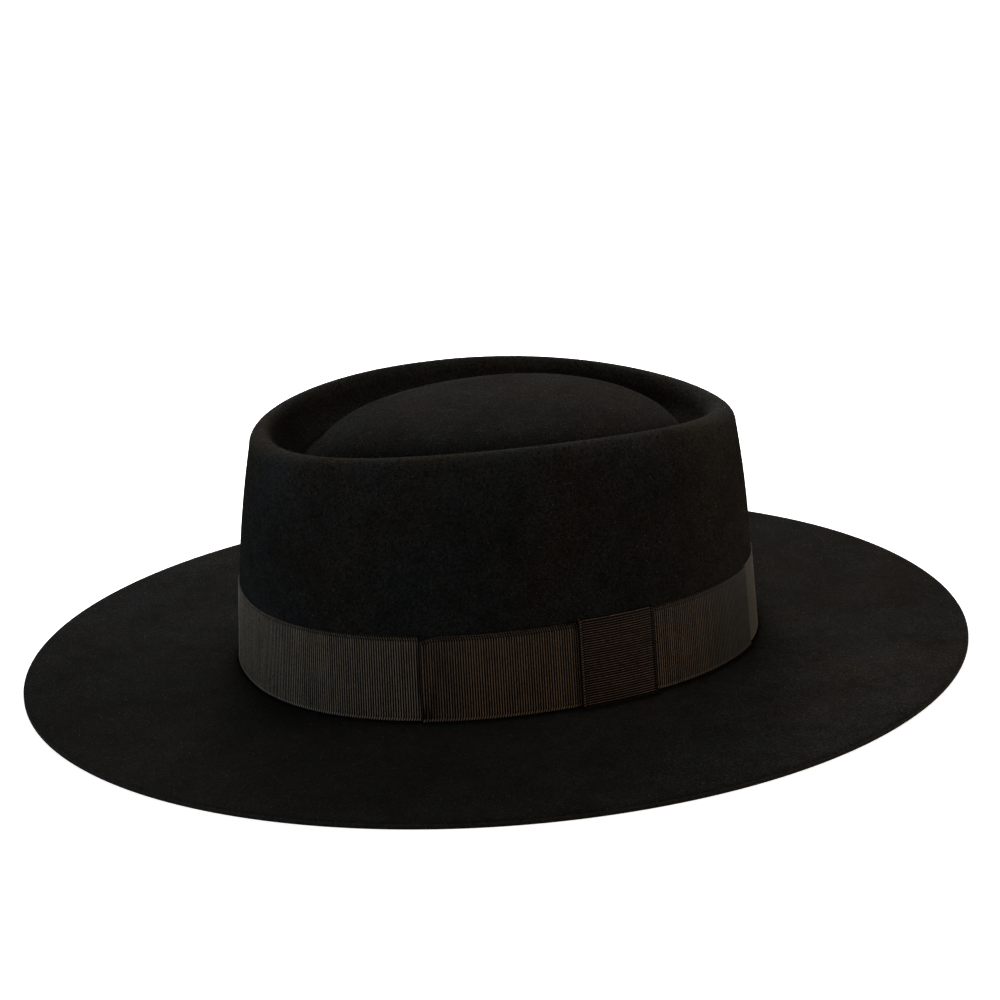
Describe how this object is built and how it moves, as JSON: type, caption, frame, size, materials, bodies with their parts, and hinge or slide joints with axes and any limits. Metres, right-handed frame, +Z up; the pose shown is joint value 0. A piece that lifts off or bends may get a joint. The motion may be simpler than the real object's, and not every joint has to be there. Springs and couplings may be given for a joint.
{
  "type": "pork pie hat",
  "caption": "Wide, flat-brimmed felt hat with an oval crown, a rolled rim round a domed, dented top, a ribbed ribbon band and a flat side bow with its knot.",
  "frame": {"origin": "middle of the hat's outline on the plane of the brim's underside", "axes": "+Z up, -Y to the front of the hat, +X to the wearer's left, where the bow is"},
  "size_m": [0.3326, 0.3664, 0.0982],
  "materials": {
    "fur_felt": "black fur felt with a short brushed nap",
    "band_ribbon": "black grosgrain, satin, upright ribs",
    "bow_ribbon": "black grosgrain, satin, upright ribs",
    "knot_ribbon": "black grosgrain, satin, ribs lying level"
  },
  "bodies": {
    "root": {"felt_body": "fur_felt", "hat_band": "band_ribbon", "side_bow": "bow_ribbon", "bow_knot": "knot_ribbon"}
  },
  "joints": []
}
